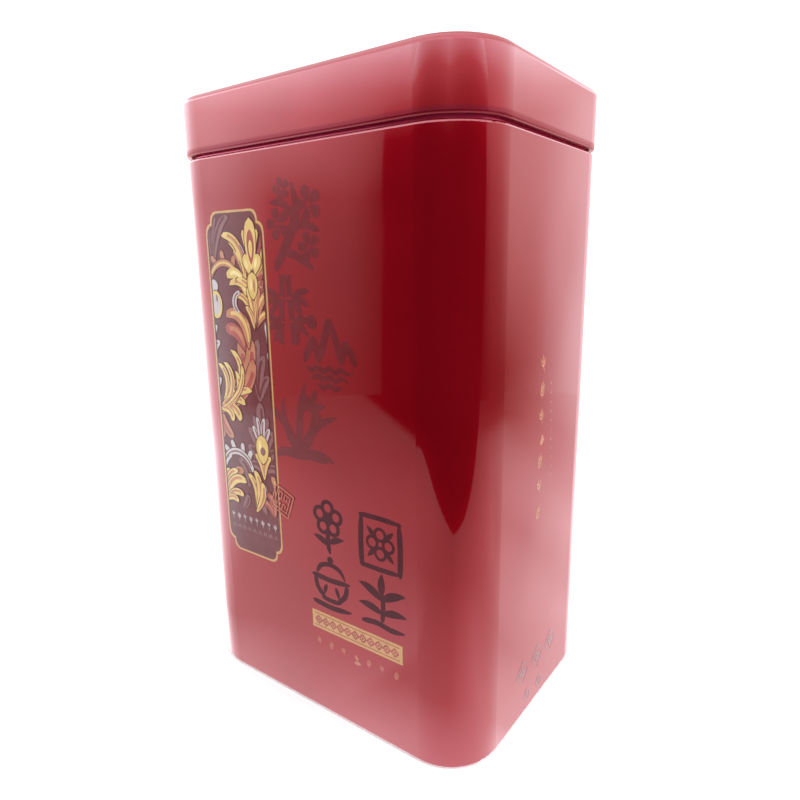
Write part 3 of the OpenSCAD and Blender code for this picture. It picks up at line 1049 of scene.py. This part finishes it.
# Each band is a height, or a distance from the tin's wall, with the glow at angles round the tin,
# as angle_round measures them. These are round numbers, set to look like what the real
# tin's lacquer mirrors.
TENT_BANDS = [
    (30.0, [
        (-180, 1.2), (-110, 2.4), (-52, 3.8), (-48, 0.6), (-40, 0.5), (-30, 0.0), (80, 0.0),
        (110, 0.2), (146, 0.2), (150, 0.7), (156, 2.4), (180, 1.2),
    ]),
    (190.0, [
        (-180, 1.3), (-110, 2.5), (-50, 2.5), (-45, 0.8), (-36, 0.7), (-31, 0.0), (85, 0.0),
        (100, 0.6), (130, 0.9), (150, 1.4), (156, 2.5), (180, 1.3),
    ]),
    (265.0, [
        (-180, 1.4), (-110, 1.8), (-75, 4.2), (-50, 4.0), (-30, 0.6), (60, 0.5), (125, 1.6),
        (150, 1.6), (156, 2.4), (180, 1.4),
    ]),
    (285.0, [
        (-180, 1.5), (-110, 2.0), (-75, 5.2), (-50, 6.2), (-30, 1.5), (60, 1.0), (120, 2.2), (150, 2.2),
        (180, 1.5),
    ]),
    (305.0, [
        (-180, 1.6), (-110, 2.2), (-75, 8.0), (-50, 9.5), (-30, 3.8), (60, 3.0), (95, 4.6), (150, 3.2),
        (180, 1.6),
    ]),
    (325.0, [
        (-180, 1.6), (-110, 2.4), (-75, 8.5), (-50, 10.0), (-20, 7.5), (110, 7.0), (150, 5.0),
        (180, 1.6),
    ]),
    (420.0, [(-180, 1.4), (-110, 1.6), (-70, 3.4), (-20, 4.0), (60, 4.0), (150, 2.0), (180, 1.4)]),
]
TABLE_BANDS = [
    (0.0, [(-180, 3.0), (-10, 2.6), (30, 3.5), (65, 3.0), (75, 1.9), (105, 1.7), (180, 2.0)]),
    (25.0, [
        (-180, 1.8), (-30, 1.6), (5, 1.9), (10, 1.4), (45, 1.4), (70, 2.5), (105, 1.3), (130, 2.0),
        (180, 1.8),
    ]),
    (100.0, [
        (-180, 1.4), (-60, 3.2), (-50, 3.0), (-46, 1.7), (-20, 1.0), (40, 0.7), (65, 1.0),
        (105, 1.6), (120, 1.1), (135, 1.3), (145, 2.1), (156, 2.4), (180, 1.4),
    ]),
    (220.0, [
        (-180, 1.3), (-60, 4.2), (-52, 4.0), (-45, 1.1), (-25, 0.6), (10, 0.8), (40, 0.5),
        (70, 0.6), (110, 1.4), (140, 1.1), (148, 1.2), (156, 2.2), (180, 1.3),
    ]),
    (285.0, [
        (-180, 1.3), (-60, 4.0), (-52, 3.7), (-45, 0.9), (-30, 0.6), (70, 0.5), (105, 1.0),
        (145, 0.7), (150, 1.1), (156, 2.2), (180, 1.3),
    ]),
    (330.0, [
        (-180, 1.2), (-60, 3.8), (-52, 3.5), (-45, 0.8), (-30, 0.5), (145, 0.3), (150, 1.0),
        (156, 2.2), (180, 1.2),
    ]),
    (400.0, [
        (-180, 1.2), (-60, 3.5), (-52, 3.2), (-48, 0.6), (-38, 0.6), (-30, 0.2), (145, 0.2),
        (150, 0.7), (156, 2.2), (180, 1.2),
    ]),
]
CARD_ANGLE = 30.0
CARD_DISTANCE = 195.0
# The card's lower edge has a low arch cut into it, between two places along the card.
CARD_ARCH_START = -240.0
CARD_ARCH_END = 45.0
CARD_ARCH_HEIGHT = 20.0
CARD_ARCH_STEPS = 12
# The rest of the card's outline, from the arch's right end: places along the card, with heights.
CARD_SIDES = [
    (110, 0.5), (200, 10), (250, 25), (300, 105), (335, 150), (330, 190), (300, 250), (-340, 250),
    (-370, 0.5),
]
# The lit table ends at these distances out from the tin, at places along the card.
TABLE_EDGE = [(-450, 205), (-250, 180), (-230, 190), (-160, 400)]
CARD_MIDDLE = 18.0
CARD_DROOP = 0.12
# Heights at the card's middle, with the glow.
CARD_GLOW = [(0, 0.0), (185, 0.0), (200, 0.4), (210, 1.0), (220, 4.0), (225, 6.5), (250, 7.0)]


def make_world():
    """Even white light all round, as in a light tent."""
    world = bpy.data.worlds.new("studio")
    bpy.context.scene.world = world
    world.use_nodes = True
    background = world.node_tree.nodes["Background"]
    put(background, "Color", (1, 1, 1, 1))
    put(background, "Strength", 1.6)


def stage_mesh(name, points, faces, material):
    """A flat or open thing that is part of the stage and not of the tin."""
    mesh = bpy.data.meshes.new(name)
    mesh.from_pydata(points, [], faces)
    mesh.materials.append(material)
    thing = link(name, mesh)
    return thing


def square(reach, height):
    """The corners of a level square, at reach from its middle."""
    return [(x * reach, y * reach, height) for x, y in ((-1, -1), (1, -1), (1, 1), (-1, 1))]


def make_floor():
    """A wide white floor, very slightly speckled."""
    material, tree, shader = new_material("white_floor")
    put(shader, "Base Color", mix_colour(tree, noise(tree, 0.05, 3.0), (0.86,) * 3, (0.90,) * 3))
    put(shader, "Roughness", 0.9)
    put(shader, "Specular IOR Level", 0.1)
    stage_mesh("floor", square(6.0, 0), [(0, 1, 2, 3)], material)


def banded(place, angle, bands):
    """Reads the glow between the bands on either side of a place."""
    start, stops = bands[0]
    glow = angle.profile(stops, TENT_LIGHT)
    for end, stops in bands[1:]:
        share = place.span(start, end, smooth=False)
        glow = blend(share, glow, angle.profile(stops, TENT_LIGHT))
        start = end
    return glow


def angle_round(tree):
    """Degrees round the tin: 0 straight in front of it, and 90 to its right."""
    x, y = place_mm(tree)[:2]
    return x.math("ARCTAN2", y * -1.0) * (180 / math.pi)


def tent_glow(tree):
    """How bright the tent is: dark where the camera stands, bright above and to the sides."""
    return banded(place_mm(tree)[2], angle_round(tree), TENT_BANDS)


def glowing(name, points, faces, glow_of):
    """A part of the stage that only reflections see: warm where it is dim, cool where bright."""
    material, tree = new_material(name)[:2]
    tree.nodes.clear()
    output = tree.nodes.new("ShaderNodeOutputMaterial")
    emission = tree.nodes.new("ShaderNodeEmission")
    glow = glow_of(tree)
    cool = glow.high(0.05).math("LOGARITHM", math.e).span(-1.2, 1.6, smooth=False)
    put(emission, "Color", mix_colour(tree, cool, WARM_TINT, COOL_TINT))
    put(emission, "Strength", glow)
    put(output, "Surface", emission.outputs[0])
    shown = stage_mesh(name, points, faces, material)
    shown.visible_camera = False
    shown.visible_diffuse = False
    shown.visible_shadow = False
    shown.visible_transmission = False


def make_tent():
    """A round wall of soft light with a bright ceiling."""
    steps = 96
    turns = [2 * math.pi * i / steps for i in range(steps)]
    radius, top = TENT_RADIUS * MM, TENT_TOP * MM
    points = [(math.sin(t) * radius, -math.cos(t) * radius, z) for z in (0.0005, top) for t in turns]
    walls = [(i, (i + 1) % steps, steps + (i + 1) % steps, steps + i) for i in range(steps)]
    glowing("light_tent", points, [*walls, tuple(range(steps, 2 * steps))], tent_glow)


def card_axes(tree):
    """How far a place is along the dark card, and how far out from the tin it is on the card's side."""
    x, y = place_mm(tree)[:2]
    cosine, sine = math.cos(math.radians(CARD_ANGLE)), math.sin(math.radians(CARD_ANGLE))
    return x * cosine + y * sine, x * sine - y * cosine


def table_glow(tree):
    """Bright close round the tin, as the lit table is in its foot."""
    from_wall = beyond_plan(tree, WIDTH / 2, DEPTH / 2, CORNER_R)
    glow = banded(from_wall, angle_round(tree), TABLE_BANDS)
    along, ahead = card_axes(tree)
    return glow * (ahead - along.profile(TABLE_EDGE, 400.0)).span(-7.0, 5.0, 1.0, 0.0)


def make_lit_table():
    """The lit table that the tin stands on, as its sides mirror it."""
    glowing("lit_table", square(TENT_RADIUS * MM, 0.0002), [(0, 1, 2, 3)], table_glow)


def card_glow(tree):
    """Dark, and lighter towards the top. The change comes higher up away from the middle."""
    z = place_mm(tree)[2]
    along = card_axes(tree)[0]
    return (z - (along - CARD_MIDDLE).size() * CARD_DROOP).profile(CARD_GLOW, TENT_LIGHT)


def card_arch():
    """The arch in the card's lower edge, half a sine wave high."""
    shares = [step / CARD_ARCH_STEPS for step in range(CARD_ARCH_STEPS + 1)]
    span = CARD_ARCH_END - CARD_ARCH_START
    return [(CARD_ARCH_START + span * t, 0.5 + CARD_ARCH_HEIGHT * math.sin(math.pi * t)) for t in shares]


def make_dark_card():
    """The dark card beside the camera, which the near corner mirrors."""
    turn = math.radians(CARD_ANGLE)
    sine, cosine, out = math.sin(turn), math.cos(turn), CARD_DISTANCE
    points = [
        ((sine * out + cosine * along) * MM, (-cosine * out + sine * along) * MM, z * MM)
        for along, z in [*card_arch(), *CARD_SIDES]
    ]
    glowing("dark_card", points, [tuple(range(len(points)))], card_glow)


def soft_light(name, shape, size, energy, place, aim):
    """A light that only lights matt colour, so that it is never seen in a reflection."""
    data = bpy.data.lights.new(name, "AREA")
    data.shape = shape
    data.size = size
    data.energy = energy
    light = bpy.data.objects.new(name, data)
    light.location = place
    light.rotation_euler = (Vector(aim) - Vector(place)).to_track_quat("-Z", "Y").to_euler()
    light.visible_glossy = False
    light.visible_camera = False
    bpy.context.scene.collection.objects.link(light)


def make_lights():
    """A broad light overhead, and one that makes the right-hand side the brighter."""
    soft_light("overhead", "DISK", 1.6, 2.0, (0.0, 0.0, 1.4), (0.0, 0.0, 0.0))
    soft_light("right", "SQUARE", 0.5, 3.2, (0.62, -0.05, 0.30), (0.0, 0.0, 0.09))


# ------------ all of it
bpy.context.scene.view_settings.view_transform = "Standard"
make_camera()
make_world()
make_floor()
make_tent()
make_lit_table()
make_dark_card()
make_lights()
finish_cad_parts()
print_tin()
